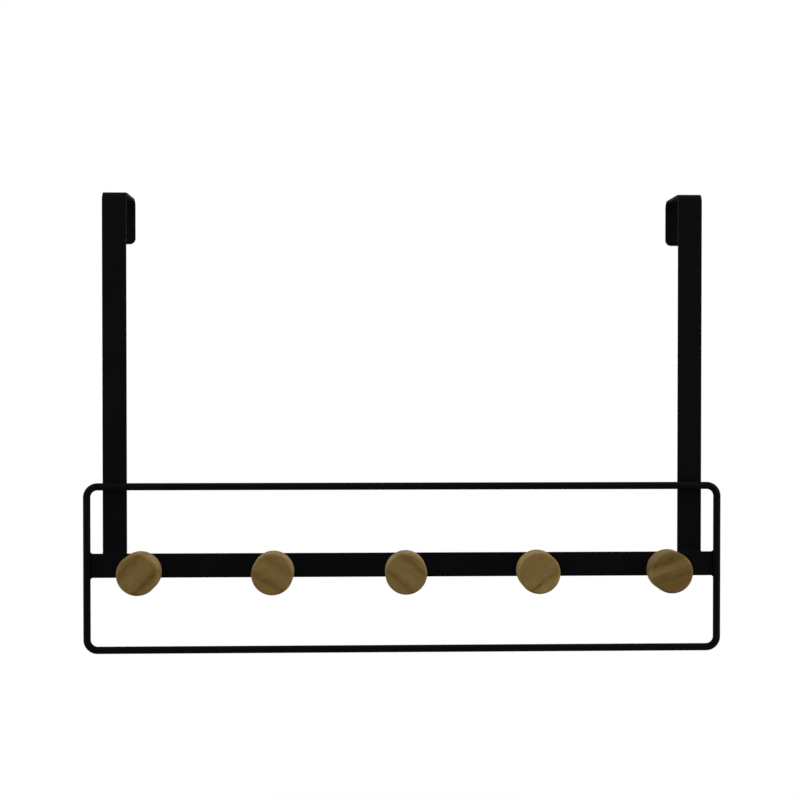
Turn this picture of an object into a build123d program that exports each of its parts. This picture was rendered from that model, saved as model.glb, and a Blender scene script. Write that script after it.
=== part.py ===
"""Over-door hook rack: a wire frame, a flat bar with five wooden knobs and two hangers.

Millimetres. +X is to the right, +Y goes from the viewer to the door and +Z is up.
The origin is midway between the hangers, on the door's front face, at the door's top edge.
"""

import os
from math import cos, radians, sin

from build123d import *

os.makedirs("parts", exist_ok=True)

# Driving dimensions: wire frame
frame_width = 480.0  # over the wire
frame_height = 128.0  # over the wire
frame_drop = 216.0  # from the door's top edge down to the frame
wire_diameter = 5.5
corner_radius = 8.0  # at the wire's centre line
wire_joint_gap = 1.0  # between the wire's two ends, filled by weld

# Driving dimensions: flat bar
bar_height = 18.0
bar_thickness = 3.0
bar_rise = 2.0  # of the bar's centre line above the frame's middle
bar_end_gap = 0.2  # between the bar's end and the wire, bridged by weld

# Driving dimensions: hangers
hanger_width = 18.0
hanger_thickness = 2.0
hanger_inset = 23.0  # from the frame's side to the hanger's centre line
hanger_end_setback = 1.5  # of the lower end above the bar's lower edge
door_gap = 40.0  # clear width of the hook
lip_length = 33.0  # below the door's top edge
lip_corner_radius = 4.5
bend_radius = 3.0  # inside the bend

# Driving dimensions: knobs and what holds them
knob_count = 5
knob_end_inset = 48.0  # from the frame's side to the first knob's axis
knob_diameter = 30.0
knob_length = 20.0
knob_face_chamfer = 1.2
stem_diameter = 10.0
stem_length = 30.0
screw_diameter = 4.0
screw_head_diameter = 8.0
screw_head_angle = 90.0
screw_hole_clearance = 0.5  # on the diameter
insert_diameter = 7.0
insert_length = 12.0
insert_clearance = 0.1  # on the diameter, in the knob
thread_clearance = 0.1  # on the diameter, around the screw
screw_tip_room = 1.5  # past the insert, in the knob

# Driving dimensions: edges and welds
strip_edge_chamfer = 0.4
weld_throat_angle = 45.0  # up the wire from where it touches the hanger
weld_root_angle = 20.0
weld_leg = 3.0  # of the beads along the wire
bar_weld_leg = 2.0  # of the bead on the bar's upper edge
weld_margin = 1.0  # bead's end from the edge of the strip
bar_weld_root = 1.0  # behind the wire's middle
bar_weld_width = 2.2  # from the bar's end towards the wire
bar_weld_overrun = 0.8  # past the bar's upper and lower edges

# Distances in front of the door's face
hanger_front = hanger_thickness
bar_front = hanger_front + bar_thickness
wire_front = hanger_front + wire_diameter / 2
knob_back = bar_front + stem_length

# Heights and places along X
wire_radius = wire_diameter / 2
frame_top = -frame_drop
frame_bottom = frame_top - frame_height
frame_middle = (frame_top + frame_bottom) / 2
bar_middle = frame_middle + bar_rise
bar_top = bar_middle + bar_height / 2
bar_bottom = bar_middle - bar_height / 2
wire_side = frame_width / 2 - wire_radius
top_wire = frame_top - wire_radius
bottom_wire = frame_bottom + wire_radius
bar_end = frame_width / 2 - wire_diameter - bar_end_gap
hanger_bottom = bar_bottom + hanger_end_setback
hanger_spacing = frame_width - 2 * hanger_inset
screw_length = bar_thickness + stem_length + insert_length
knob_pitch = (frame_width - 2 * knob_end_inset) / (knob_count - 1)
knob_places = [(i - (knob_count - 1) / 2) * knob_pitch for i in range(knob_count)]


def facing_front(x, distance):
    """Plane at a knob's axis, a distance in front of the door, looking away from the door."""
    return Plane(origin=(x, -distance, bar_middle), x_dir=(1, 0, 0), z_dir=(0, -1, 0))


def save(piece, name):
    """Label a finished piece and write it to its file."""
    piece.label = name
    export_step(piece, f"parts/{name}.step")


# Wire frame: one bent wire, its ends meeting on the right side behind the bar's end
with BuildPart() as wire_frame:
    with BuildLine(Plane.XZ.offset(wire_front)) as wire_path:
        FilletPolyline(
            (wire_side, bar_middle + wire_joint_gap / 2),
            (wire_side, top_wire),
            (-wire_side, top_wire),
            (-wire_side, bottom_wire),
            (wire_side, bottom_wire),
            (wire_side, bar_middle - wire_joint_gap / 2),
            radius=corner_radius,
        )
    with BuildSketch(Plane(origin=wire_path.line @ 0, z_dir=wire_path.line % 0)):
        Circle(wire_radius)
    sweep(path=wire_path.line)
save(wire_frame.part, "wire_frame")

# Weld that closes the wire, dressed flush
with BuildPart() as wire_joint_weld:
    with BuildSketch(Plane.XY.offset(bar_middle)):
        with Locations((wire_side, -wire_front)):
            Circle(wire_radius)
    extrude(amount=wire_joint_gap / 2, both=True)
save(wire_joint_weld.part, "wire_joint_weld")

# Hook bar: flat bar between the frame's sides, countersunk from behind for each knob
with BuildPart() as hook_bar:
    with BuildSketch(Plane.XZ.offset(hanger_front)):
        with Locations((0, bar_middle)):
            Rectangle(2 * bar_end, bar_height)
    extrude(amount=bar_thickness)
    chamfer(hook_bar.edges().filter_by(Axis.X), strip_edge_chamfer)
    bar_back = Plane(origin=(0, -hanger_front, bar_middle), x_dir=(-1, 0, 0), z_dir=(0, 1, 0))
    with Locations(bar_back):
        with GridLocations(knob_pitch, 0, knob_count, 1):
            CounterSinkHole(
                radius=(screw_diameter + screw_hole_clearance) / 2,
                counter_sink_radius=(screw_head_diameter + screw_hole_clearance) / 2,
                counter_sink_angle=screw_head_angle,
            )
save(hook_bar.part, "hook_bar")

# Welds in the groove between each end of the bar and the wire, on the side of the door
for side, name in ((-1, "left_bar_weld"), (1, "right_bar_weld")):
    with BuildPart() as bar_weld:
        with BuildSketch(Plane.XY.offset(bar_middle)) as bead:
            with Locations((side * bar_end, -hanger_front)):
                Rectangle(
                    bar_weld_width,
                    wire_radius - bar_weld_root,
                    align=(Align.MIN if side > 0 else Align.MAX, Align.MAX),
                )
            with Locations((side * wire_side, -wire_front)):
                Circle(wire_radius, mode=Mode.SUBTRACT)
        extrude(amount=bar_height / 2 + bar_weld_overrun, both=True)
    save(bar_weld.part, name)

# Hangers: flat strips up the door's face, over its top edge and down behind it
for side, name in ((-1, "left_hanger"), (1, "right_hanger")):
    with BuildPart() as hanger:
        with BuildSketch(Plane.YZ.offset(side * hanger_spacing / 2)):
            with BuildLine():
                FilletPolyline(
                    (0, hanger_bottom),
                    (0, 0),
                    (door_gap, 0),
                    (door_gap, -lip_length),
                    radius=bend_radius,
                )
                offset(amount=hanger_thickness, side=Side.LEFT)
            make_face()
        extrude(amount=hanger_width / 2, both=True)
        lip_end = hanger.faces().filter_by(Axis.Z).group_by(Axis.Z)[1]
        fillet(lip_end.edges().filter_by(Axis.Y), lip_corner_radius)
        side_edges = hanger.faces().filter_by(Axis.X).edges().filter_by(Axis.Y, reverse=True)
        chamfer(side_edges, strip_edge_chamfer)
    save(hanger.part, name)

# Welds that join each hanger to the top wire and to the bar's upper edge
bead_length = hanger_width - 2 * weld_margin


def on_wire(angle):
    """Point on the top wire, in Y and Z from where it touches the hanger, at an angle around it."""
    return (-wire_front + wire_radius * cos(radians(angle)), wire_radius * sin(radians(angle)))


for side, name in ((-1, "left_hanger_welds"), (1, "right_hanger_welds")):
    with BuildPart() as hanger_welds:
        with BuildSketch(Plane.YZ.offset(side * hanger_spacing / 2)):
            throat_y, throat_z = on_wire(weld_throat_angle)
            middle_y, middle_z = on_wire((weld_throat_angle + weld_root_angle) / 2)
            root_y, root_z = on_wire(weld_root_angle)
            for way in (-1, 1):
                with BuildLine():
                    ThreePointArc(
                        (throat_y, top_wire + way * throat_z),
                        (middle_y, top_wire + way * middle_z),
                        (root_y, top_wire + way * root_z),
                    )
                    Polyline(
                        (root_y, top_wire + way * root_z),
                        (-hanger_front, top_wire + way * root_z),
                        (-hanger_front, top_wire + way * weld_leg),
                        (throat_y, top_wire + way * throat_z),
                    )
                make_face()
            with BuildLine():
                Polyline(
                    (-hanger_front, bar_top),
                    (-hanger_front, bar_top + bar_weld_leg),
                    (-hanger_front - bar_weld_leg, bar_top),
                    close=True,
                )
            make_face()
        extrude(amount=bead_length / 2, both=True)
    save(hanger_welds.part, name)

# Knobs, each on a stem that stands on the bar
for number, x in enumerate(knob_places, start=1):
    with BuildPart() as stem:
        with BuildSketch(facing_front(x, bar_front)):
            Circle(stem_diameter / 2)
            Circle((screw_diameter + screw_hole_clearance) / 2, mode=Mode.SUBTRACT)
        extrude(amount=stem_length)
    save(stem.part, f"knob_stem_{number}")

    with BuildPart() as knob:
        with BuildSketch(facing_front(x, knob_back)):
            Circle(knob_diameter / 2)
        extrude(amount=knob_length)
        chamfer(knob.faces().sort_by(Axis.Y)[0].edges(), knob_face_chamfer)
        with BuildSketch(facing_front(x, knob_back)):
            Circle((insert_diameter + insert_clearance) / 2)
        extrude(amount=insert_length + screw_tip_room, mode=Mode.SUBTRACT)
    save(knob.part, f"knob_{number}")

# Threaded inserts, one in the back of each knob
with BuildPart() as knob_inserts:
    with BuildSketch(facing_front(0, knob_back)):
        with GridLocations(knob_pitch, 0, knob_count, 1):
            Circle(insert_diameter / 2)
            Circle((screw_diameter + thread_clearance) / 2, mode=Mode.SUBTRACT)
    extrude(amount=insert_length)
save(knob_inserts.part, "knob_inserts")

# Screws, sunk into the bar from behind, that reach through the stems into the inserts
with BuildPart() as knob_screws:
    with BuildSketch(facing_front(0, hanger_front)):
        with GridLocations(knob_pitch, 0, knob_count, 1):
            Circle(screw_head_diameter / 2)
    extrude(amount=(screw_head_diameter - screw_diameter) / 2, taper=screw_head_angle / 2)
    with BuildSketch(facing_front(0, hanger_front)):
        with GridLocations(knob_pitch, 0, knob_count, 1):
            Circle(screw_diameter / 2)
    extrude(amount=screw_length)
save(knob_screws.part, "knob_screws")
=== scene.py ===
"""Looks of an over-door hook rack: coated steel wire, bar and hangers, and turned wooden knobs.

Metres, in the frame of the solids: +X to the right, +Y from the viewer to the door, +Z up.
"""

from collections import namedtuple
from math import ceil, cos, pi, radians, sin, sqrt, tau

import bmesh
import bpy
from mathutils import Matrix, Vector


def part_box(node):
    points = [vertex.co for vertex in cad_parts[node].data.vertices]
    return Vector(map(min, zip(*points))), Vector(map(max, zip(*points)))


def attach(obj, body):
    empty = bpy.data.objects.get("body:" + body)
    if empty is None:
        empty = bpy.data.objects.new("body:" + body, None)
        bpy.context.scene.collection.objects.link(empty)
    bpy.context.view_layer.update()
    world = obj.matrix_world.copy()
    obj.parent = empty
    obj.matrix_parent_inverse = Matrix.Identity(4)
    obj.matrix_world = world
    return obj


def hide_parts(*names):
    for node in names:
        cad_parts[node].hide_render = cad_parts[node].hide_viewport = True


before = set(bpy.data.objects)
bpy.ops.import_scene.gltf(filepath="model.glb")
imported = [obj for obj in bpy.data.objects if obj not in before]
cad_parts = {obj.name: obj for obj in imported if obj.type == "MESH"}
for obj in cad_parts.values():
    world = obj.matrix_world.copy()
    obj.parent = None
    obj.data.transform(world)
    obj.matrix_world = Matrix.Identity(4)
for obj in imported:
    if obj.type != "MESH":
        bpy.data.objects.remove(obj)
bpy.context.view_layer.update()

MM = 0.001
QUARTER = pi / 2
KNOB_COUNT = 5
KNOBS = range(1, KNOB_COUNT + 1)
WHITE = (1.0, 1.0, 1.0, 1.0)

# Sizes that the solids' boxes don't tell
WIRE_CORNER_RADIUS = 8.0 * MM  # at the wire's centre line
WIRE_JOINT_GAP = 1.0 * MM
WIRE_END_CHAMFER = 0.35 * MM
HOOK_INSIDE_RADIUS = 3.0 * MM
LIP_LENGTH = 33.0 * MM  # below the door's top edge
LIP_CORNER_RADIUS = 4.5 * MM
STRIP_EDGE_RADIUS = 0.45 * MM
BEND_BULGE = 0.03  # share of the strip's width that a bend adds inside and takes outside
SCREW_HOLE_RADIUS = 2.25 * MM
SCREW_SHANK_RADIUS = 2.0 * MM
SUNK_CLEARANCE = 0.25 * MM  # around the screw's head
KNOB_FACE_ROUND = 2.0 * MM
KNOB_BACK_ROUND = 0.8 * MM
KNOB_BORE_RADIUS = 3.55 * MM
KNOB_BORE_DEPTH = 13.5 * MM
KNOB_BORE_CHAMFER = 0.4 * MM
STEM_RIM_ROUND = 0.4 * MM
INSERT_BORE_RADIUS = 2.05 * MM

# Fineness of the meshes
WIRE_SIDES = 40
CORNER_STEPS = 20
ROUND_STEPS = 5
LATHE_SIDES = 96
SMALL_LATHE_SIDES = 48
SMOOTH_ANGLE = radians(35)


def skin(rings, loop=False):
    """Points and faces of a surface through rings of points; a ring of one point is a tip."""
    points = []
    starts = []
    faces = []
    for ring in rings:
        starts.append(len(points))
        points.extend(ring)
    pairs = [(i, i + 1) for i in range(len(rings) - 1)]
    if loop:
        pairs.append((len(rings) - 1, 0))
    for a, b in pairs:
        count_a, count_b = len(rings[a]), len(rings[b])
        count = max(count_a, count_b)
        for i in range(count):
            j = (i + 1) % count
            corners = (
                starts[a] + i % count_a,
                starts[a] + j % count_a,
                starts[b] + j % count_b,
                starts[b] + i % count_b,
            )
            faces.append(list(dict.fromkeys(corners)))
    if not loop:
        for end in (0, -1):
            if len(rings[end]) > 1:
                faces.append([starts[end] + i for i in range(len(rings[end]))])
    return points, faces


def quarter_arc(centre_u, centre_v, radius, first, steps=ROUND_STEPS):
    """Points of a quarter circle that starts a number of quarter turns from the first axis."""
    angles = [(first + i / steps) * QUARTER for i in range(steps + 1)]
    return [(centre_u + radius * cos(a), centre_v + radius * sin(a)) for a in angles]


def lathe(profile, sides, relief=None):
    """Rings of a profile of (radius, distance to the front) points turned about the Y axis."""
    rings = []
    for radius, ahead in profile:
        if radius == 0:
            rings.append([Vector((0, -ahead, 0))])
            continue
        ring = []
        for i in range(sides):
            angle = tau * i / sides
            r = radius + (relief(angle, ahead) if relief else 0)
            ring.append(Vector((r * cos(angle), -ahead, r * sin(angle))))
        rings.append(ring)
    return rings


def rounded_rectangle(half_width, half_height, radius):
    """Points of a rectangle with rounded corners."""
    ring = []
    for corner, (u, v) in enumerate(((1, 1), (-1, 1), (-1, -1), (1, -1))):
        ring.extend(quarter_arc(u * (half_width - radius), v * (half_height - radius), radius, corner))
    return ring


def make_mesh(name, shells):
    """A mesh of one or more shells of points and faces, with faces that look outwards."""
    mesh = bpy.data.meshes.new(name)
    points = []
    faces = []
    for shell_points, shell_faces in shells:
        offset = len(points)
        points.extend(shell_points)
        faces.extend([offset + i for i in face] for face in shell_faces)
    mesh.from_pydata(points, [], faces)
    bm = bmesh.new()
    bm.from_mesh(mesh)
    bmesh.ops.recalc_face_normals(bm, faces=bm.faces)
    bm.to_mesh(mesh)
    bm.free()
    return mesh


def place(name, data, at=(0, 0, 0)):
    """An object for a mesh, a lamp or a camera, linked to the scene."""
    placed = bpy.data.objects.new(name, data)
    placed.location = at
    bpy.context.scene.collection.objects.link(placed)
    return placed


def cut(mesh, *cutters):
    """The mesh with the cutters' volumes taken out of it."""
    bpy.context.view_layer.update()
    body = place(mesh.name, mesh)
    tools = [place("cutter", cutter) for cutter in cutters]
    for tool in tools:
        taking = body.modifiers.new("cut", "BOOLEAN")
        taking.operation = "DIFFERENCE"
        taking.solver = "EXACT"
        taking.object = tool
    graph = bpy.context.evaluated_depsgraph_get()
    result = bpy.data.meshes.new_from_object(body.evaluated_get(graph))
    for used in (body, *tools):
        bpy.data.objects.remove(used)
    return result


def finish_piece(name, mesh, material, node, at=(0, 0, 0)):
    """A finished piece that stands for a solid, rides with it and takes its finish from a slot."""
    mesh.materials.clear()
    mesh.materials.append(material)
    mesh.shade_smooth()
    mesh.set_sharp_from_angle(angle=SMOOTH_ANGLE)
    piece = place(name, mesh, at)
    even = piece.modifiers.new("even_normals", "WEIGHTED_NORMAL")
    even.keep_sharp = True
    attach(piece, "root")
    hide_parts(node)


# Curve of display colours, which is straight up to a small share of white and then a power
DISPLAY_WHITE = 255
SRGB_STRAIGHT_END = 0.04045
SRGB_STRAIGHT_SLOPE = 12.92
SRGB_OFFSET = 0.055
SRGB_POWER = 2.4


def srgb(red, green, blue):
    """A display colour of 0 to 255 as the linear colour that a shader takes."""
    linear = []
    for value in (red, green, blue):
        share = value / DISPLAY_WHITE
        if share <= SRGB_STRAIGHT_END:
            linear.append(share / SRGB_STRAIGHT_SLOPE)
        else:
            linear.append(((share + SRGB_OFFSET) / (1 + SRGB_OFFSET)) ** SRGB_POWER)
    return (*linear, 1.0)


class Shading:
    """The nodes of a material or of a world, made and linked with short calls."""

    def __init__(self, owner):
        owner.use_nodes = True
        self.owner = owner
        self.nodes = owner.node_tree.nodes
        self.links = owner.node_tree.links
        self.nodes.clear()

    def add(self, kind, inputs=(), **settings):
        """A node with its settings, and its inputs as values or as other nodes' outputs."""
        node = self.nodes.new("ShaderNode" + kind)
        for setting, value in settings.items():
            setattr(node, setting, value)
        for socket, value in dict(inputs).items():
            if isinstance(value, bpy.types.NodeSocket):
                self.links.new(value, node.inputs[socket])
            else:
                node.inputs[socket].default_value = value
        return node

    def math(self, operation, first, second=0.0):
        """The result of a sum on two values."""
        return self.add("Math", {0: first, 1: second}, operation=operation).outputs[0]

    def vector_math(self, operation, first, second, result=0):
        """The result of a sum on two vectors."""
        return self.add("VectorMath", {0: first, 1: second}, operation=operation).outputs[result]

    def noise(self, vector, scale, detail, roughness=0.5):
        """A noise value of about 0 to 1 at a vector."""
        inputs = {"Vector": vector, "Scale": scale, "Detail": detail, "Roughness": roughness}
        return self.add("TexNoise", inputs).outputs[0]

    def ramp(self, value, stops):
        """Colours along a value, from (place, colour) stops."""
        node = self.add("ValToRGB", {0: value})
        elements = node.color_ramp.elements
        while len(elements) < len(stops):
            elements.new(1.0)
        for element, (at, colour) in zip(elements, stops):
            element.position = at
            element.color = colour
        return node.outputs[0]

    def span(self, value, low, high, start=0.0, stop=1.0, interpolation="LINEAR"):
        """A value that goes from low to high while another goes from start to stop."""
        inputs = {0: value, 1: start, 2: stop, 3: low, 4: high}
        return self.add("MapRange", inputs, interpolation_type=interpolation).outputs[0]

    def bump(self, height, distance, strength):
        """A normal that follows a relief of the given height."""
        inputs = {"Height": height, "Distance": distance, "Strength": strength}
        return self.add("Bump", inputs).outputs[0]

    def direct_view(self):
        """1 where a thing is seen by the camera, in a reflection or through glass, and 0 elsewhere."""
        path = self.add("LightPath").outputs
        seen = self.math("MAXIMUM", path["Is Camera Ray"], path["Is Glossy Ray"])
        return self.math("MAXIMUM", seen, path["Is Transmission Ray"])

    def principled(self, colour, roughness, normal, inputs):
        """The material, made of a principled shader."""
        inputs = {"Base Color": colour, "Roughness": roughness, "Normal": normal, **inputs}
        return self.surface(self.add("BsdfPrincipled", inputs))

    def surface(self, shader):
        """The material or world that shows a shader."""
        kind = "World" if isinstance(self.owner, bpy.types.World) else "Material"
        self.add("Output" + kind, {"Surface": shader.outputs[0]})
        return self.owner


def new_shading(name):
    """The nodes of a new material."""
    return Shading(bpy.data.materials.new(name))


# Range that most of a noise's values lie in, and its middle
NOISE_LOW = 0.3
NOISE_MIDDLE = 0.5
NOISE_HIGH = 0.7

# Black powder coat; its noises are (scale per metre, detail)
COAT_DARK = srgb(3, 3, 4)
COAT_PALE = srgb(6, 6, 8)
COAT_SPECULAR = 0.035
COAT_ROUGHNESS = (0.66, 0.86)
COAT_PATCHES = (35.0, 3.0)
COAT_PEEL = (320.0, 2.0)
COAT_GRAIN = (1800.0, 1.0)
COAT_GRAIN_SHARE = 0.4  # of the relief, against the orange peel
COAT_RELIEF = 0.03 * MM
COAT_RELIEF_STRENGTH = 0.7


def coat_material():
    """Matt black powder coat with fine orange peel, a little uneven in colour and gloss."""
    shade = new_shading("black_powder_coat")
    where = shade.add("TexCoord").outputs["Object"]
    patches = shade.noise(where, *COAT_PATCHES)
    peel = shade.noise(where, *COAT_PEEL)
    grain = shade.noise(where, *COAT_GRAIN)
    colour = shade.ramp(patches, ((NOISE_LOW, COAT_DARK), (NOISE_HIGH, COAT_PALE)))
    relief = shade.math("ADD", peel, shade.math("MULTIPLY", grain, COAT_GRAIN_SHARE))
    roughness = shade.span(patches, *COAT_ROUGHNESS)
    bump = shade.bump(relief, COAT_RELIEF, COAT_RELIEF_STRENGTH)
    return shade.principled(colour, roughness, bump, {"Specular IOR Level": COAT_SPECULAR})


# Wood of the knobs: the angle of the grain on each face, in degrees up to the right, its darkening,
# and its streaks as (place across the grain in mm, width in mm, darkness)
KNOB_GRAIN = {
    1: (47, 0.02, ((8.7, 2.8, 0.30), (-8.0, 2.4, 0.34), (1.0, 4.5, -0.08))),
    2: (-32, 0.02, ((-6.0, 2.4, 0.26), (8.5, 2.6, 0.14), (1.5, 4.5, -0.10))),
    3: (-40, -0.02, ((8.6, 2.0, 0.26), (-6.8, 1.9, 0.24), (1.0, 4.0, -0.08))),
    4: (36, -0.08, ((-6.3, 1.2, 0.42), (-10.5, 2.6, -0.18), (9.0, 3.5, 0.10))),
    5: (20, 0.20, ((10.0, 3.6, 0.22), (4.3, 2.8, -0.42), (-3.2, 3.4, 0.12))),
}
WOOD_STOPS = (
    (0.10, srgb(120, 103, 64)),
    (0.40, srgb(106, 88, 51)),
    (0.62, srgb(95, 76, 41)),
    (0.95, srgb(75, 57, 28)),
)
WOOD_SPECULAR = 0.02
WOOD_ROUGHNESS = (0.62, 0.80)
WOOD_RELIEF = 0.06 * MM
WOOD_RELIEF_STRENGTH = 0.25
WOOD_SEED = (60.0, 23.0, 0.0)  # mm from one knob's wood to the next one's
GRAIN_TILT = 0.25  # by which the layers climb from the face to the back
GRAIN_SWAY = 4.5  # mm

# Noises in the wood, with their scales per mm
Layer = namedtuple("Layer", "along across detail roughness")
SWAY = Layer(along=0.05, across=0.08, detail=2.0, roughness=0.5)
FIBRES = Layer(along=0.10, across=1.1, detail=4.0, roughness=0.6)
HAIRS = Layer(along=0.16, across=5.0, detail=3.0, roughness=0.6)
CLOUDS = Layer(along=0.14, across=0.26, detail=3.0, roughness=0.5)
PORES = Layer(along=0.60, across=6.5, detail=1.0, roughness=0.5)
BREAKS = Layer(along=0.16, across=0.30, detail=2.0, roughness=0.5)
RING_SCALE = 0.45
RING_DETAIL = 2.0
PORE_EDGE = (0.60, 0.70)  # of the noise, from no pore to a whole one
BREAK_EDGE = (0.32, 0.60)  # of the noise, from a faint streak to a full one
STREAK_BREAK = (0.25, 1.0)  # share of a streak's darkness where it is faint and where it is full

# Share that each noise has in the wood's darkness
RING_DEPTH = 0.20
FIBRE_DEPTH = 0.30
HAIR_DEPTH = 0.30
CLOUD_DEPTH = 0.30
PORE_DEPTH = 0.22
BASE_DEPTH = -0.05


def wood_material(number):
    """Oiled wood whose grain lies across the knob's face; its vectors are in mm, X along the grain."""
    angle, darkening, streaks = KNOB_GRAIN[number]
    low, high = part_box(f"knob_{number}")
    shade = new_shading(f"knob_wood_{number}")
    where = shade.add("TexCoord").outputs["Object"]
    turn = {"Vector": where, "Rotation": (0, radians(-angle), 0), "Scale": (MM, MM, MM)}
    turned = shade.add("Mapping", turn, vector_type="TEXTURE").outputs[0]
    seeded = shade.vector_math("ADD", turned, [number * step for step in WOOD_SEED])

    def layer(look):
        stretch = {"Vector": seeded, "Scale": (look.along, look.across, look.across)}
        vector = shade.add("Mapping", stretch).outputs[0]
        return shade.noise(vector, 1.0, look.detail, look.roughness)

    parts = shade.add("SeparateXYZ", {0: turned}).outputs
    behind_face = shade.math("ADD", parts["Y"], (high.y - low.y) / MM)
    across = shade.math("ADD", parts["Z"], shade.math("MULTIPLY", behind_face, GRAIN_TILT))
    sway = shade.math("SUBTRACT", layer(SWAY), NOISE_MIDDLE)
    across = shade.math("ADD", across, shade.math("MULTIPLY", sway, GRAIN_SWAY))
    ring_inputs = {"W": across, "Scale": RING_SCALE, "Detail": RING_DETAIL}
    rings = shade.add("TexNoise", ring_inputs, noise_dimensions="1D").outputs[0]
    fibres = layer(FIBRES)
    hairs = layer(HAIRS)
    pores = shade.span(layer(PORES), 0.0, 1.0, *PORE_EDGE)

    depth = shade.math("MULTIPLY", rings, RING_DEPTH)
    shares = ((fibres, FIBRE_DEPTH), (hairs, HAIR_DEPTH), (layer(CLOUDS), CLOUD_DEPTH), (pores, PORE_DEPTH))
    for value, share in shares:
        depth = shade.math("ADD", depth, shade.math("MULTIPLY", value, share))
    depth = shade.math("ADD", depth, BASE_DEPTH + darkening)
    strength = shade.span(layer(BREAKS), *STREAK_BREAK, *BREAK_EDGE)
    for offset, width, darkness in streaks:
        away = shade.math("DIVIDE", shade.math("SUBTRACT", across, offset), width)
        fall = shade.math("EXPONENT", shade.math("MULTIPLY", shade.math("MULTIPLY", away, away), -1.0))
        faded = shade.math("MULTIPLY", fall, strength)
        depth = shade.math("ADD", depth, shade.math("MULTIPLY", faded, darkness))
    colour = shade.ramp(depth, WOOD_STOPS)
    roughness = shade.span(fibres, *WOOD_ROUGHNESS)
    bump = shade.bump(shade.math("SUBTRACT", hairs, pores), WOOD_RELIEF, WOOD_RELIEF_STRENGTH)
    return shade.principled(colour, roughness, bump, {"Specular IOR Level": WOOD_SPECULAR})


# Bare metal, with marks that run round the Y axis
ZINC_DARK = srgb(150, 152, 156)
ZINC_PALE = srgb(188, 190, 192)
ZINC_ROUGHNESS = (0.28, 0.45)
BRASS_DARK = srgb(176, 142, 72)
BRASS_PALE = srgb(206, 172, 100)
BRASS_ROUGHNESS = (0.25, 0.40)
MARK_STRETCH = (1.0, 12.0, 1.0)
MARK_SCALE = 900.0
MARK_DETAIL = 3.0
METAL_RELIEF = 0.02 * MM
METAL_RELIEF_STRENGTH = 0.2


def metal_material(name, dark, pale, roughness):
    """Bare metal with fine turned marks and a slightly uneven polish."""
    shade = new_shading(name)
    where = shade.add("TexCoord").outputs["Object"]
    lines = shade.add("Mapping", {"Vector": where, "Scale": MARK_STRETCH}).outputs[0]
    marks = shade.noise(lines, MARK_SCALE, MARK_DETAIL)
    colour = shade.ramp(marks, ((NOISE_LOW, dark), (NOISE_HIGH, pale)))
    bump = shade.bump(marks, METAL_RELIEF, METAL_RELIEF_STRENGTH)
    return shade.principled(colour, shade.span(marks, *roughness), bump, {"Metallic": 1.0})


coat = coat_material()
zinc = metal_material("zinc_plate", ZINC_DARK, ZINC_PALE, ZINC_ROUGHNESS)
brass = metal_material("turned_brass", BRASS_DARK, BRASS_PALE, BRASS_ROUGHNESS)

# Wire frame: one bent wire, its two ends meeting on the right side
wire_low, wire_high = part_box("wire_frame")
wire_radius = (wire_high.y - wire_low.y) / 2
wire_y = (wire_high.y + wire_low.y) / 2
wire_side = wire_high.x - wire_radius
joint_low, joint_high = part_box("wire_joint_weld")
joint_z = (joint_low.z + joint_high.z) / 2


def wire_ring(x, z, outward, radius):
    """Points around the wire, where outward is the direction away from the frame's middle."""
    middle = Vector((x, wire_y, z))
    side = Vector((cos(outward), 0, sin(outward)))
    ring = []
    for i in range(WIRE_SIDES):
        angle = tau * i / WIRE_SIDES
        ring.append(middle + radius * (cos(angle) * side + sin(angle) * Vector((0, 1, 0))))
    return ring


def wire_frame_mesh():
    """The whole bent wire with eased ends."""
    reach_x = wire_side - WIRE_CORNER_RADIUS
    top = wire_high.z - wire_radius - WIRE_CORNER_RADIUS
    bottom = wire_low.z + wire_radius + WIRE_CORNER_RADIUS
    upper_end = joint_z + WIRE_JOINT_GAP / 2
    lower_end = joint_z - WIRE_JOINT_GAP / 2
    rings = [wire_ring(wire_side, upper_end, 0, wire_radius - WIRE_END_CHAMFER)]
    rings.append(wire_ring(wire_side, upper_end + WIRE_END_CHAMFER, 0, wire_radius))
    corners = ((reach_x, top), (-reach_x, top), (-reach_x, bottom), (reach_x, bottom))
    for quarter, (x, z) in enumerate(corners):
        for step in range(CORNER_STEPS + 1):
            angle = (quarter + step / CORNER_STEPS) * QUARTER
            at_x = x + WIRE_CORNER_RADIUS * cos(angle)
            at_z = z + WIRE_CORNER_RADIUS * sin(angle)
            rings.append(wire_ring(at_x, at_z, angle, wire_radius))
    rings.append(wire_ring(wire_side, lower_end - WIRE_END_CHAMFER, 0, wire_radius))
    rings.append(wire_ring(wire_side, lower_end, 0, wire_radius - WIRE_END_CHAMFER))
    return make_mesh("coated_wire", [skin(rings)])


finish_piece("coated_wire", wire_frame_mesh(), coat, "wire_frame")

# Weld that closes the wire: a low collar, dressed flush with the wire
JOINT_WELD_STEPS = 8
JOINT_WELD_SINK = 0.12 * MM  # under the wire's surface at its edges


def joint_weld_mesh():
    """A short barrel in the groove between the wire's ends."""
    half = WIRE_JOINT_GAP / 2 + WIRE_END_CHAMFER
    rings = []
    for step in range(JOINT_WELD_STEPS + 1):
        share = 2 * step / JOINT_WELD_STEPS - 1
        radius = wire_radius - JOINT_WELD_SINK * share**2
        rings.append(wire_ring(wire_side, joint_z + share * half, 0, radius))
    return make_mesh("joint_bead", [skin(rings)])


finish_piece("joint_bead", joint_weld_mesh(), coat, "wire_joint_weld")

# Hook bar: a flat bar with rolled edges, countersunk from behind
CUT_OVERRUN = 1.0 * MM  # of a cutter past the faces that it cuts
bar_low, bar_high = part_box("hook_bar")
bar_middle = (bar_low + bar_high) / 2


def knob_axis(number):
    """Where a knob's axis is, in X and Z."""
    low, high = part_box(f"knob_{number}")
    return (low.x + high.x) / 2, (low.z + high.z) / 2


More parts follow.
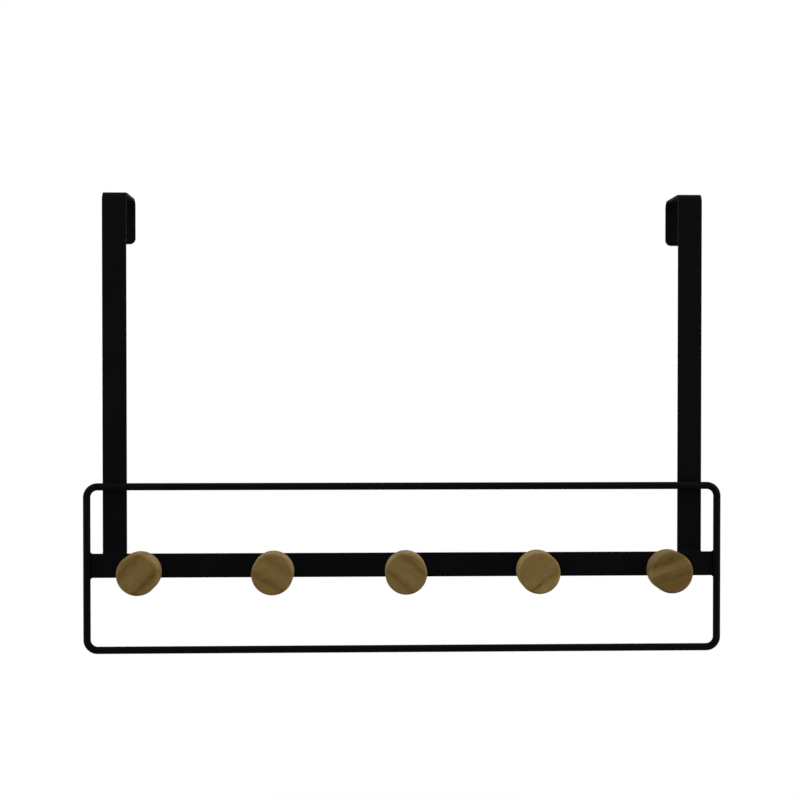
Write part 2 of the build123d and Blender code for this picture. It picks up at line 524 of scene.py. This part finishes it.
def size_of(node):
    """The radius and length of a turned solid, or of one in a row of them."""
    low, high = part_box(node)
    return (high.z - low.z) / 2, high.y - low.y


def end_easing(length):
    """Places along a strip and how much it thins there, so that both its ends are eased."""
    near = []
    for step in range(ROUND_STEPS + 1):
        angle = QUARTER * step / ROUND_STEPS
        near.append((STRIP_EDGE_RADIUS * (1 - cos(angle)), STRIP_EDGE_RADIUS * (1 - sin(angle))))
    return near + [(length - at, thin) for at, thin in reversed(near)]


def sink_cutter(x, z):
    """The hole and countersink of one screw, through the bar."""
    head_radius = size_of("knob_screws")[0] + SUNK_CLEARANCE
    far_side = bar_high.y - bar_low.y + CUT_OVERRUN
    profile = [
        (0, -CUT_OVERRUN),
        (head_radius + CUT_OVERRUN, -CUT_OVERRUN),
        (SCREW_HOLE_RADIUS, head_radius - SCREW_HOLE_RADIUS),
        (SCREW_HOLE_RADIUS, far_side),
        (0, far_side),
    ]
    cutter = make_mesh("cutter", [skin(lathe(profile, SMALL_LATHE_SIDES))])
    cutter.transform(Matrix.Translation((x, bar_high.y, z)))
    return cutter


def hook_bar_mesh():
    """The bar with its eased edges and sunk holes."""
    half_height = (bar_high.z - bar_low.z) / 2
    half_thickness = (bar_high.y - bar_low.y) / 2
    rings = []
    for along, thin in end_easing(bar_high.x - bar_low.x):
        section = rounded_rectangle(half_height - thin, half_thickness - thin, STRIP_EDGE_RADIUS)
        rings.append([Vector((bar_low.x + along, bar_middle.y + v, bar_middle.z + u)) for u, v in section])
    mesh = make_mesh("coated_bar", [skin(rings)])
    return cut(mesh, *[sink_cutter(*knob_axis(number)) for number in KNOBS])


finish_piece("coated_bar", hook_bar_mesh(), coat, "hook_bar")

# Hangers: flat strips up the door's face, over its top edge and down behind it
HOOK_BEND_STEPS = 14
LIP_STEPS = 10


def hook_path(low, high, thickness):
    """Places along a hanger's middle, as y, z, the way that its outer face looks and how much it bends."""
    radius = HOOK_INSIDE_RADIUS + thickness / 2
    front_y = low.y + thickness / 2
    back_y = high.y - thickness / 2
    top_z = high.z - thickness / 2
    path = [(front_y, low.z, pi, 0.0)]
    for centre_y, start in ((front_y + radius, pi), (back_y - radius, QUARTER)):
        for step in range(HOOK_BEND_STEPS + 1):
            share = step / HOOK_BEND_STEPS
            angle = start - share * QUARTER
            y = centre_y + radius * cos(angle)
            z = top_z - radius + radius * sin(angle)
            path.append((y, z, angle, sin(pi * share)))
    for step in range(LIP_STEPS):
        rise = LIP_CORNER_RADIUS * (1 - sin(QUARTER * step / (LIP_STEPS - 1)))
        path.append((back_y, -LIP_LENGTH + rise, 0.0, 0.0))
    return path


def corner_inset(radius, from_end):
    """How far a round corner draws a strip in, at a distance from the strip's end."""
    in_corner = max(0.0, radius - from_end)
    return radius - sqrt(radius**2 - in_corner**2)


def hanger_mesh(name, node):
    """A bent strip, a little wider inside its bends and narrower outside, with a rounded lip."""
    low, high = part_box(node)
    middle_x = (low.x + high.x) / 2
    half_width = (high.x - low.x) / 2
    thickness = -low.y
    rings = []
    for y, z, facing, bend in hook_path(low, high, thickness):
        from_end = z + LIP_LENGTH if facing == 0.0 else LIP_CORNER_RADIUS
        narrow = corner_inset(LIP_CORNER_RADIUS, from_end)
        thin = corner_inset(STRIP_EDGE_RADIUS, from_end)
        section = rounded_rectangle(half_width - narrow, thickness / 2 - thin, STRIP_EDGE_RADIUS)
        ring = []
        for u, v in section:
            wide = u * (1 - BEND_BULGE * bend * v / (thickness / 2))
            ring.append(Vector((middle_x + wide, y + v * cos(facing), z + v * sin(facing))))
        rings.append(ring)
    return make_mesh(name, [skin(rings)])


for side in ("left", "right"):
    mesh = hanger_mesh(f"{side}_strip", f"{side}_hanger")
    finish_piece(f"{side}_strip", mesh, coat, f"{side}_hanger")

# Weld beads, rippled along their length and drawn in at their ends
BEAD_RIPPLE = 2.0 * MM  # from one ripple to the next
BEAD_RIPPLE_DEPTH = 0.07  # share of the bead's size
BEAD_STEPS_PER_RIPPLE = 8
BEAD_TAPER = 1.6 * MM  # at each end
BEAD_END_SIZE = 0.35  # share of the bead's size at its ends
BEAD_OVERRUN = 0.8 * MM  # past each edge of a hanger, along the wire
BEAD_CROWN = 0.25 * MM  # by which a bead's middle stands out
WELD_ROOT = 0.4 * MM  # from the wire's centre line to the bead's root on the hanger
WELD_LEG = 3.0 * MM  # from the wire's centre line to the bead's edge on the hanger
WELD_THROAT = radians(45)  # up the wire from where it touches the hanger
BAR_WELD_LEG = 2.0 * MM
BAR_WELD_HOLLOW = (1 / 2, 1 / 3)  # share of the bead's width and depth at its inner corner
CORNER_BEAD = 1.3 * MM  # leg of the hollow bead in a bar end's corners, along the bar and the wire
CORNER_BEAD_INSET = 0.3 * MM  # from the bar's faces
CORNER_BEAD_ROOT = 0.5 * MM  # into the bar's end and the wire


def bead_shell(root, section, along, length):
    """A bead whose section is scaled about its root as it goes along."""
    steps = ceil(length / BEAD_RIPPLE) * BEAD_STEPS_PER_RIPPLE
    rings = []
    for step in range(steps + 1):
        at = length * step / steps
        taper = min(1.0, min(at, length - at) / BEAD_TAPER)
        size = BEAD_END_SIZE + (1 - BEAD_END_SIZE) * sin(taper * QUARTER)
        size *= 1 - BEAD_RIPPLE_DEPTH * cos(pi * at / BEAD_RIPPLE) ** 2
        offset = along * (at - length / 2)
        rings.append([root + (point - root) * size + offset for point in section])
    return skin(rings)


def crowned(first, last, out):
    """Points from first to last that bow out by the bead's crown."""
    points = []
    for step in range(ROUND_STEPS + 1):
        share = step / ROUND_STEPS
        points.append(first.lerp(last, share) + out * (BEAD_CROWN * sin(pi * share)))
    return points


def hanger_welds_mesh(name, side):
    """The beads above and below the top wire and the bead on the bar's upper edge."""
    strip_low, strip_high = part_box(f"{side}_hanger")
    x = (strip_low.x + strip_high.x) / 2
    length = strip_high.x - strip_low.x
    face_y = strip_low.y
    wire_z = wire_high.z - wire_radius
    along = Vector((1, 0, 0))
    shells = []
    for way in (-1, 1):
        root = Vector((x, face_y, wire_z + way * WELD_ROOT))
        toe = Vector((x, face_y, wire_z + way * WELD_LEG))
        on_wire_y = wire_y + wire_radius * cos(WELD_THROAT)
        throat = Vector((x, on_wire_y, wire_z + way * wire_radius * sin(WELD_THROAT)))
        section = [root, *crowned(toe, throat, Vector((0, -1, way)).normalized())]
        shells.append(bead_shell(root, section, along, length + 2 * BEAD_OVERRUN))
    root = Vector((x, face_y, bar_high.z))
    toe = root + Vector((0, 0, BAR_WELD_LEG))
    throat = root - Vector((0, BAR_WELD_LEG, 0))
    section = [root, *crowned(toe, throat, Vector((0, -1, 1)).normalized())]
    shells.append(bead_shell(root, section, along, length))
    return make_mesh(name, shells)


def corner_bead(end_x, edge_z, way, up):
    """A hollow bead in the corner between the bar's edge and the wire, through the bar's thickness."""
    front = bar_low.y + CORNER_BEAD_INSET
    back = bar_high.y - CORNER_BEAD_INSET
    toe_x = end_x - way * CORNER_BEAD
    rings = []
    for step in range(ROUND_STEPS + 1):
        y = front + (back - front) * step / ROUND_STEPS
        wire_x = way * (wire_side - sqrt(wire_radius**2 - (y - wire_y) ** 2))
        root = Vector((wire_x + way * CORNER_BEAD_ROOT, y, edge_z - up * CORNER_BEAD_ROOT))
        hollow = []
        for turn in range(ROUND_STEPS + 1):
            angle = QUARTER * turn / ROUND_STEPS
            x = toe_x + (wire_x - toe_x) * cos(angle)
            hollow.append(Vector((x, y, edge_z + up * CORNER_BEAD * (1 - sin(angle)))))
        rings.append([root, *hollow])
    return skin(rings)


def bar_weld_mesh(name, node, way):
    """The bead between the bar's end and the wire, on the side of the door, and in both corners."""
    low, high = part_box(node)
    end_x = low.x if way > 0 else high.x
    across = way * (high.x - low.x)
    z = (low.z + high.z) / 2
    hollow_x, hollow_y = BAR_WELD_HOLLOW
    root = Vector((end_x, low.y, z))
    toe = Vector((end_x - way * STRIP_EDGE_RADIUS, high.y, z))
    throat = Vector((end_x + across, high.y, z))
    inner = Vector((end_x + across * hollow_x, low.y + (high.y - low.y) * hollow_y, z))
    shells = [bead_shell(root, [root, toe, throat, inner], Vector((0, 0, 1)), high.z - low.z)]
    for edge_z, up in ((bar_low.z, -1), (bar_high.z, 1)):
        shells.append(corner_bead(end_x, edge_z, way, up))
    return make_mesh(name, shells)


for side, way in (("left", -1), ("right", 1)):
    mesh = hanger_welds_mesh(f"{side}_strip_beads", side)
    finish_piece(f"{side}_strip_beads", mesh, coat, f"{side}_hanger_welds")
    mesh = bar_weld_mesh(f"{side}_bar_bead", f"{side}_bar_weld", way)
    finish_piece(f"{side}_bar_bead", mesh, coat, f"{side}_bar_weld")

# Knobs and stems, each turned about its own axis with its back at the origin
FLAT_MARGIN = 0.5 * MM  # of flat kept level beside a round


def knob_mesh():
    """A knob with an eased face, a softened back and a bore for its insert."""
    radius, length = size_of("knob_1")
    face_r = radius - KNOB_FACE_ROUND
    face_at = length - KNOB_FACE_ROUND
    back_r = radius - KNOB_BACK_ROUND
    profile = [
        (0, KNOB_BORE_DEPTH),
        (KNOB_BORE_RADIUS, KNOB_BORE_DEPTH),
        (KNOB_BORE_RADIUS, KNOB_BORE_CHAMFER),
        (KNOB_BORE_RADIUS + KNOB_BORE_CHAMFER, 0),
        (back_r - FLAT_MARGIN, 0),
        *quarter_arc(back_r, KNOB_BACK_ROUND, KNOB_BACK_ROUND, -1),
        (radius, KNOB_BACK_ROUND + FLAT_MARGIN),
        (radius, face_at - FLAT_MARGIN),
        *quarter_arc(face_r, face_at, KNOB_FACE_ROUND, 0, 2 * ROUND_STEPS),
        (face_r - FLAT_MARGIN, length),
        (radius / 2, length),
        (0, length),
    ]
    return make_mesh("turned_knob", [skin(lathe(profile, LATHE_SIDES))])


def stem_mesh():
    """A tube with eased rims."""
    radius, length = size_of("knob_stem_1")
    rim_r = radius - STEM_RIM_ROUND
    profile = [
        *quarter_arc(rim_r, STEM_RIM_ROUND, STEM_RIM_ROUND, -1),
        *quarter_arc(rim_r, length - STEM_RIM_ROUND, STEM_RIM_ROUND, 0),
        (SCREW_HOLE_RADIUS, length),
        (SCREW_HOLE_RADIUS, 0),
    ]
    return make_mesh("stem_tube", [skin(lathe(profile, SMALL_LATHE_SIDES), loop=True)])


def back_of(node):
    """Where a solid's back is, along Y."""
    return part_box(node)[1].y


for number in KNOBS:
    x, z = knob_axis(number)
    knob, stem = f"knob_{number}", f"knob_stem_{number}"
    at = (x, back_of(knob), z)
    finish_piece(f"turned_knob_{number}", knob_mesh(), wood_material(number), knob, at)
    at = (x, back_of(stem), z)
    finish_piece(f"stem_tube_{number}", stem_mesh(), coat, stem, at)

# Screws and threaded inserts, turned as the knobs are and then set in a row
SCREW_HEAD_LAND = 0.25 * MM
SCREW_PITCH = 0.7 * MM
SCREW_THREAD_DEPTH = 0.4 * MM
SCREW_THREAD_LENGTH = 20.0 * MM
SCREW_TIP = 0.5 * MM
RECESS_LENGTH = 4.4 * MM
RECESS_WIDTH = 0.95 * MM
RECESS_DEPTH = 2.1 * MM
RECESS_TAPER = (0.45, 0.78)  # share of the recess's length and width at its floor
RECESS_TURN = radians(20)
INSERT_RIM = 1.0 * MM  # without thread
INSERT_PITCH = 2.4 * MM
INSERT_THREAD_DEPTH = 0.6 * MM
THREAD_ROWS_PER_TURN = 6


def ridge(angle, ahead, pitch):
    """Depth of a thread's groove, from 0 at its crest to 1 at its root."""
    turn = (ahead / pitch + angle / tau) % 1.0
    return 1 - abs(2 * turn - 1)


def thread_rows(start, stop, pitch):
    """Distances for the rows of a thread."""
    count = ceil((stop - start) / pitch * THREAD_ROWS_PER_TURN)
    return [start + (stop - start) * i / count for i in range(count + 1)]


def cross_cutter(turn):
    """One tapered blade of the cross recess."""
    along = Vector((cos(turn), 0, sin(turn))) * RECESS_LENGTH / 2
    across = Vector((-sin(turn), 0, cos(turn))) * RECESS_WIDTH / 2
    blade = []
    for depth, (long, wide) in ((-CUT_OVERRUN, (1, 1)), (0.0, (1, 1)), (RECESS_DEPTH, RECESS_TAPER)):
        middle = Vector((0, -depth, 0))
        corners = ((1, 1), (-1, 1), (-1, -1), (1, -1))
        blade.append([middle + along * (u * long) + across * (v * wide) for u, v in corners])
    return make_mesh("cutter", [skin(blade)])


def screw_mesh():
    """A sunk screw with a cross recess and a thread in the insert."""
    head_radius, length = size_of("knob_screws")
    thread_start = length - SCREW_THREAD_LENGTH
    thread_stop = length - SCREW_TIP

    def thread(angle, ahead):
        inside = thread_start < ahead < thread_stop
        return -SCREW_THREAD_DEPTH * ridge(angle, ahead, SCREW_PITCH) if inside else 0.0

    profile = [
        (head_radius, 0),
        (head_radius, SCREW_HEAD_LAND),
        (SCREW_SHANK_RADIUS, SCREW_HEAD_LAND + head_radius - SCREW_SHANK_RADIUS),
        *[(SCREW_SHANK_RADIUS, at) for at in thread_rows(thread_start, thread_stop, SCREW_PITCH)],
        (SCREW_SHANK_RADIUS - SCREW_TIP, length),
    ]
    mesh = make_mesh("cross_screws", [skin(lathe(profile, SMALL_LATHE_SIDES, thread))])
    return cut(mesh, cross_cutter(RECESS_TURN), cross_cutter(RECESS_TURN + QUARTER))


def insert_mesh():
    """A threaded bush with a coarse outer thread."""
    radius, length = size_of("knob_inserts")

    def thread(angle, ahead):
        inside = INSERT_RIM < ahead < length
        return -INSERT_THREAD_DEPTH * ridge(angle, ahead, INSERT_PITCH) if inside else 0.0

    outside = [(radius, at) for at in [0.0, *thread_rows(INSERT_RIM, length, INSERT_PITCH)]]
    bore = [(INSERT_BORE_RADIUS, length), (INSERT_BORE_RADIUS, 0)]
    rings = lathe(outside, SMALL_LATHE_SIDES, thread) + lathe(bore, SMALL_LATHE_SIDES)
    return make_mesh("threaded_bushes", [skin(rings, loop=True)])


def in_row(mesh):
    """One mesh with a copy of a turned mesh on each knob's axis."""
    faces = [list(polygon.vertices) for polygon in mesh.polygons]
    shells = []
    for number in KNOBS:
        x, z = knob_axis(number)
        shells.append(([vertex.co + Vector((x, 0, z)) for vertex in mesh.vertices], faces))
    return make_mesh(mesh.name, shells)


at = (0, back_of("knob_screws"), 0)
finish_piece("cross_screws", in_row(screw_mesh()), zinc, "knob_screws", at)
at = (0, back_of("knob_inserts"), 0)
finish_piece("threaded_bushes", in_row(insert_mesh()), brass, "knob_inserts", at)

# Floor, far enough below the rack that its shadow stays soft
FLOOR_Z = -0.70
FLOOR_HALF = 12.0
FLOOR_COLOUR = (0.56, 0.56, 0.56, 1.0)
FLOOR_WHITE_EDGE = (0.45, 0.85)  # distances between which the floor turns white


def floor_material():
    """A pale floor that takes the rack's shadow and goes over into the white background."""
    shade = new_shading("pale_floor")
    where = shade.add("NewGeometry").outputs["Position"]
    level = shade.vector_math("MULTIPLY", where, (1, 1, 0))
    distance = shade.vector_math("LENGTH", level, (0, 0, 0), "Value")
    far = shade.span(distance, 0.0, 1.0, *FLOOR_WHITE_EDGE, "SMOOTHSTEP")
    matt = shade.add("BsdfDiffuse", {"Color": FLOOR_COLOUR})
    white = shade.add("Emission", {"Color": WHITE, "Strength": 1.0})
    share = shade.math("MULTIPLY", far, shade.direct_view())
    return shade.surface(shade.add("MixShader", {0: share, 1: matt.outputs[0], 2: white.outputs[0]}))


floor_mesh = bpy.data.meshes.new("floor")
floor_corners = [(u * FLOOR_HALF, v * FLOOR_HALF, FLOOR_Z) for u, v in ((-1, -1), (1, -1), (1, 1), (-1, 1))]
floor_mesh.from_pydata(floor_corners, [], [(0, 1, 2, 3)])
floor_mesh.materials.append(floor_material())
place("floor", floor_mesh)

# Light: an even room and soft lamps above, on each side and behind, as (place, size, power in watts)
ROOM_LIGHT = 0.70
LAMP_TARGET = Vector((0, -0.02, -0.24))
LAMPS = {
    "lamp_above": ((0.0, -0.30, 1.15), (1.6, 1.2), 11.0),
    "lamp_left": ((-1.60, -0.28, 0.10), (1.0, 1.4), 17.0),
    "lamp_right": ((1.60, -0.28, 0.10), (1.0, 1.4), 26.0),
    "lamp_behind": ((0.0, 1.60, 0.40), (1.6, 1.2), 12.0),
}


def room_world():
    """A room that lights the rack evenly and is white where it is seen."""
    shade = Shading(bpy.data.worlds.new("room"))
    strength = shade.span(shade.direct_view(), ROOM_LIGHT, 1.0)
    return shade.surface(shade.add("Background", {"Color": WHITE, "Strength": strength}))


bpy.context.scene.world = room_world()
for name, (at, size, power) in LAMPS.items():
    lamp = bpy.data.lights.new(name, "AREA")
    lamp.shape = "RECTANGLE"
    lamp.size, lamp.size_y = size
    lamp.energy = power
    holder = place(name, lamp, at)
    holder.rotation_euler = (LAMP_TARGET - Vector(at)).to_track_quat("-Z", "Y").to_euler()

# Camera at the photograph's viewing angle
CAMERA_PLACE = (-0.0341, -1.0099, -0.1406)
CAMERA_YAW = radians(1.77)  # to the right
CAMERA_PITCH = radians(-0.76)  # up
CAMERA_LENS = 60.2
CAMERA_SENSOR = 36.0
camera = bpy.data.cameras.new("camera")
camera.lens = CAMERA_LENS
camera.sensor_width = CAMERA_SENSOR
viewer = place("camera", camera, CAMERA_PLACE)
viewer.rotation_euler = (QUARTER + CAMERA_PITCH, 0, -CAMERA_YAW)
bpy.context.scene.camera = viewer
bpy.context.scene.view_settings.view_transform = "Standard"
